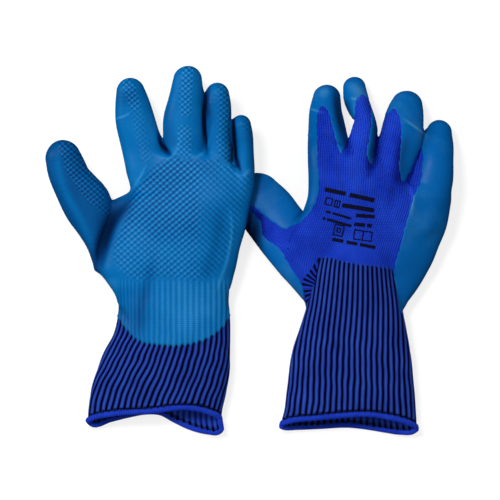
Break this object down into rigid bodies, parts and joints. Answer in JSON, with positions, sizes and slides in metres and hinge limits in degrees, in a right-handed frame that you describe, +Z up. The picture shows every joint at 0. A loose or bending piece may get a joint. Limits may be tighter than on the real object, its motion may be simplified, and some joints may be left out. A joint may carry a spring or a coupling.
{
  "type": "electrical insulating gloves",
  "caption": "Knitted work gloves with dipped blue latex palms and long ribbed cuffs, lying palm up and palm down, with digits that bend.",
  "frame": {"origin": "centre of the footprint of the pair, on the surface it lies on", "axes": "+Z up, +Y from the cuffs towards the fingertips, +X from the left glove towards the right glove"},
  "size_m": [0.3366, 0.298, 0.0516],
  "materials": {
    "liner": "plain knit, royal blue",
    "coating": "dipped latex, satin, blue",
    "rib_knit": "rib knit, blue ribs and black grooves",
    "hem_yarn": "overlock stitching, royal blue",
    "elastic": "covered elastic thread, off-white",
    "print": "printed ink, black"
  },
  "bodies": {
    "right_hand": {"right_hand_liner": "liner", "right_palm_coating": "coating", "right_rib_cuff": "rib_knit", "right_cuff_hem": "hem_yarn", "right_cuff_elastics": "elastic", "right_back_print": "print"},
    "right_thumb": {"right_thumb_liner": "liner", "right_thumb_coating": "coating"},
    "right_index": {"right_index_liner": "liner", "right_index_coating": "coating"},
    "right_middle": {"right_middle_liner": "liner", "right_middle_coating": "coating"},
    "right_ring": {"right_ring_liner": "liner", "right_ring_coating": "coating"},
    "right_little": {"right_little_liner": "liner", "right_little_coating": "coating"},
    "left_hand": {"left_hand_liner": "liner", "left_palm_coating": "coating", "left_rib_cuff": "rib_knit", "left_cuff_hem": "hem_yarn", "left_cuff_elastics": "elastic", "left_back_print": "print"},
    "left_thumb": {"left_thumb_liner": "liner", "left_thumb_coating": "coating"},
    "left_index": {"left_index_liner": "liner", "left_index_coating": "coating"},
    "left_middle": {"left_middle_liner": "liner", "left_middle_coating": "coating"},
    "left_ring": {"left_ring_liner": "liner", "left_ring_coating": "coating"},
    "left_little": {"left_little_liner": "liner", "left_little_coating": "coating"}
  },
  "joints": [
    {"name": "left_glove_lift", "type": "slide", "parent": "right_hand", "child": "left_hand", "axis": [0, 0, 1], "range_m": [0, 0.12]},
    {"name": "right_thumb_swing", "type": "hinge", "parent": "right_hand", "child": "right_thumb", "pos_m": [0.0367, 0.0348, 0.014], "axis": [0, 0, -1], "range_deg": [0, 12], "stiffness_Nm_per_rad": 0.06},
    {"name": "right_index_straighten", "type": "hinge", "parent": "right_hand", "child": "right_index", "pos_m": [0.0629, 0.08472, 0.04745], "axis": [0.9998, -0.0213, 0], "range_deg": [0, 26], "stiffness_Nm_per_rad": 0.06},
    {"name": "right_middle_straighten", "type": "hinge", "parent": "right_hand", "child": "right_middle", "pos_m": [0.0929, 0.08472, 0.05025], "axis": [0.9938, 0.1115, 0], "range_deg": [0, 26], "stiffness_Nm_per_rad": 0.06},
    {"name": "right_ring_straighten", "type": "hinge", "parent": "right_hand", "child": "right_ring", "pos_m": [0.1214, 0.07573, 0.04795], "axis": [0.9848, -0.1738, 0], "range_deg": [0, 26], "stiffness_Nm_per_rad": 0.06},
    {"name": "right_little_straighten", "type": "hinge", "parent": "right_hand", "child": "right_little", "pos_m": [0.1514, 0.06073, 0.04125], "axis": [0.9899, -0.1414, 0], "range_deg": [0, 24], "stiffness_Nm_per_rad": 0.06},
    {"name": "left_thumb_curl", "type": "hinge", "parent": "left_hand", "child": "left_thumb", "pos_m": [-0.1416, 0.04272, 0.03495], "axis": [0.9398, 0.3417, 0], "range_deg": [0, 30], "stiffness_Nm_per_rad": 0.06},
    {"name": "left_index_curl", "type": "hinge", "parent": "left_hand", "child": "left_index", "pos_m": [-0.0901, 0.08273, 0.03295], "axis": [0.9823, 0.1875, 0], "range_deg": [0, 40], "stiffness_Nm_per_rad": 0.06},
    {"name": "left_middle_curl", "type": "hinge", "parent": "left_hand", "child": "left_middle", "pos_m": [-0.0541, 0.08372, 0.03545], "axis": [0.9985, -0.0546, 0], "range_deg": [0, 40], "stiffness_Nm_per_rad": 0.06},
    {"name": "left_ring_curl", "type": "hinge", "parent": "left_hand", "child": "left_ring", "pos_m": [-0.0256, 0.08273, 0.03995], "axis": [0.9998, 0.02, 0], "range_deg": [0, 35], "stiffness_Nm_per_rad": 0.06},
    {"name": "left_little_curl", "type": "hinge", "parent": "left_hand", "child": "left_little", "pos_m": [-0.0046, 0.07072, 0.04245], "axis": [0.9985, 0.0555, 0], "range_deg": [0, 35], "stiffness_Nm_per_rad": 0.06}
  ]
}
